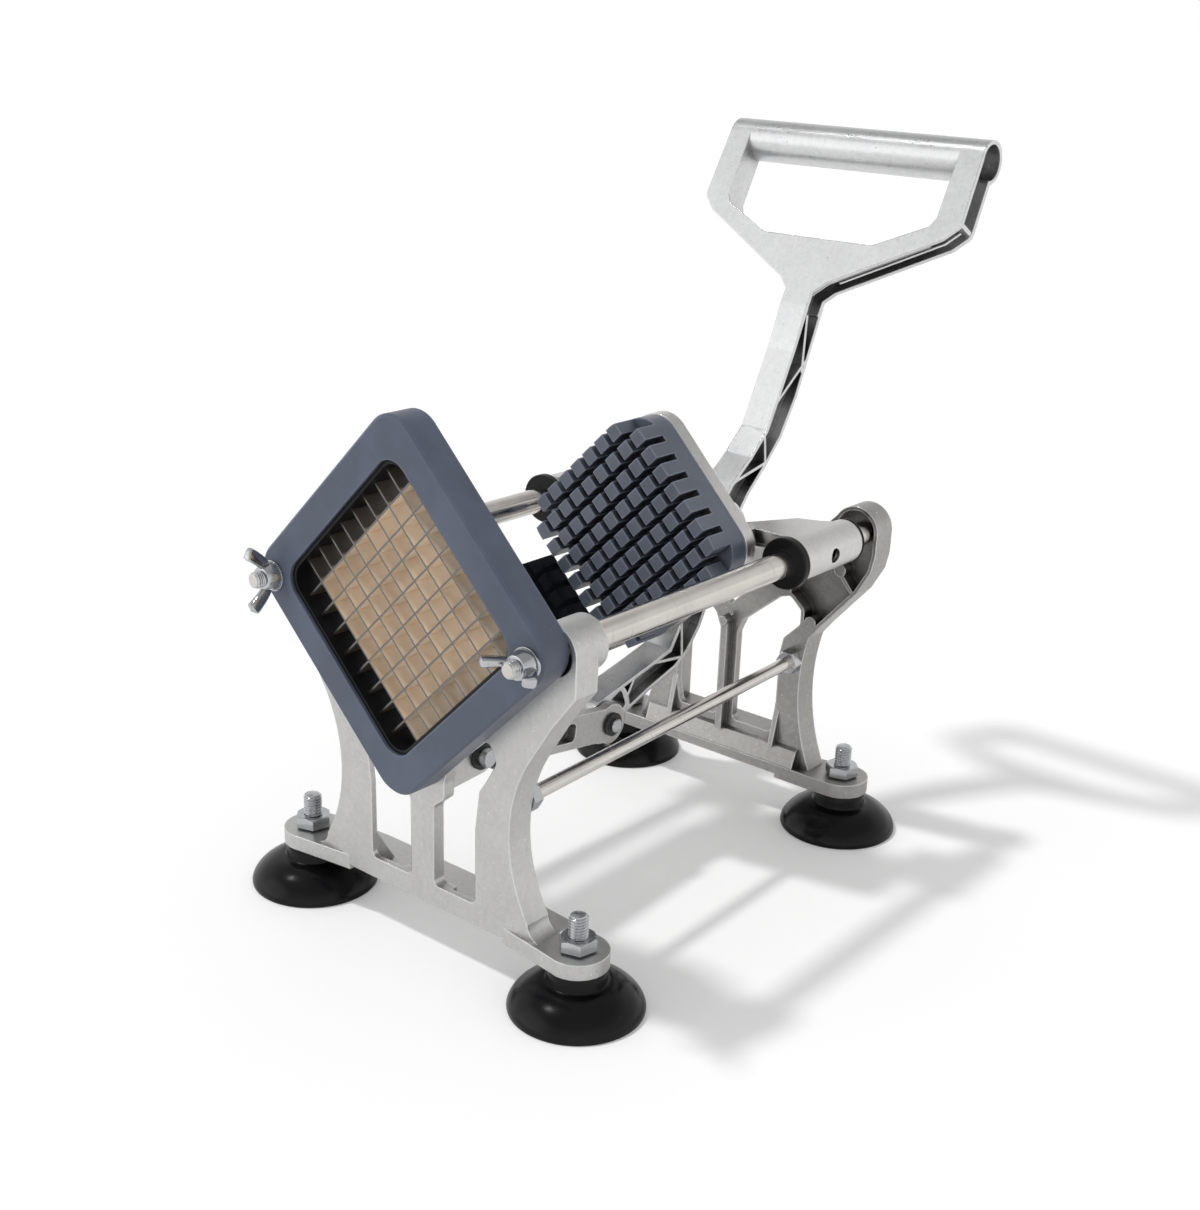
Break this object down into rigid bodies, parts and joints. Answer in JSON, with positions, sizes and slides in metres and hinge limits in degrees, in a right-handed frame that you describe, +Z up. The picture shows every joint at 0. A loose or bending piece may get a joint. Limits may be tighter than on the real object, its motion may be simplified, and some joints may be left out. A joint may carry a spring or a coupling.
{
  "type": "french fry cutter",
  "caption": "Hand-lever french fry cutter with a square blade grid, a stud pusher sliding on rods, a D-handle lever and sucker feet.",
  "frame": {"origin": "under the middle of the whole cutter, on the worktop", "axes": "+X to the right seen from the blade end, +Y from the blades to the handle, +Z up"},
  "size_m": [0.204, 0.3208, 0.3077],
  "materials": {
    "cast_aluminium": "tumbled casting, satin",
    "polished_rod": "polished",
    "zinc_steel": "zinc plated",
    "slate_plastic": "satin slate grey",
    "black_plastic": "satin black",
    "black_gloss": "glossy black",
    "blade_steel": "ground stainless steel",
    "cup_rubber": "satin black rubber",
    "dark_washer": "dark grey"
  },
  "bodies": {
    "base": {"front_frame": "cast_aluminium", "rear_frame": "cast_aluminium", "guide_rod_left": "polished_rod", "guide_rod_right": "polished_rod", "wing_nut_left": "zinc_steel", "wing_nut_right": "zinc_steel", "wing_nut_washers": "zinc_steel", "rod_end_screws": "zinc_steel", "rod_end_washers": "zinc_steel", "tie_rod_left": "polished_rod", "tie_rod_right": "polished_rod", "tie_rod_nuts": "zinc_steel", "blade_frame": "slate_plastic", "blade_carrier": "black_plastic", "blades_rising": "blade_steel", "blades_falling": "blade_steel", "potato_guide": "black_gloss", "guide_screws": "zinc_steel", "foot_studs": "zinc_steel", "foot_washers": "dark_washer", "foot_nuts": "zinc_steel", "suction_cup_front_left": "cup_rubber", "suction_cup_front_right": "cup_rubber", "suction_cup_rear_left": "cup_rubber", "suction_cup_rear_right": "cup_rubber", "link_pivot_pin": "zinc_steel", "link_pivot_rings": "dark_washer"},
    "carriage": {"carriage": "cast_aluminium", "pusher_block": "slate_plastic", "pusher_screws": "zinc_steel", "bushes_front": "black_plastic", "bushes_rear": "black_plastic", "lever_pivot_pin": "zinc_steel", "lever_pivot_rings": "zinc_steel"},
    "lever": {"lever": "cast_aluminium"},
    "link": {"link": "cast_aluminium", "link_end_pin": "zinc_steel", "link_end_rings": "dark_washer"}
  },
  "joints": [
    {"name": "carriage_slide", "type": "slide", "parent": "base", "child": "carriage", "axis": [0, -1, 0], "range_m": [0, 0.118]},
    {"name": "lever_hinge", "type": "hinge", "parent": "carriage", "child": "lever", "pos_m": [0, 0.0512, 0.141], "axis": [1, 0, 0], "range_deg": [0, 60.3]},
    {"name": "link_hinge", "type": "hinge", "parent": "base", "child": "link", "pos_m": [0, -0.1118, 0.082], "axis": [1, 0, 0], "range_deg": [-31.7, 0]}
  ],
  "couplings": [
    {"joint": "lever_hinge", "follows": "carriage_slide", "rad_per_m": 8.8983},
    {"joint": "link_hinge", "follows": "carriage_slide", "rad_per_m": -4.661}
  ]
}
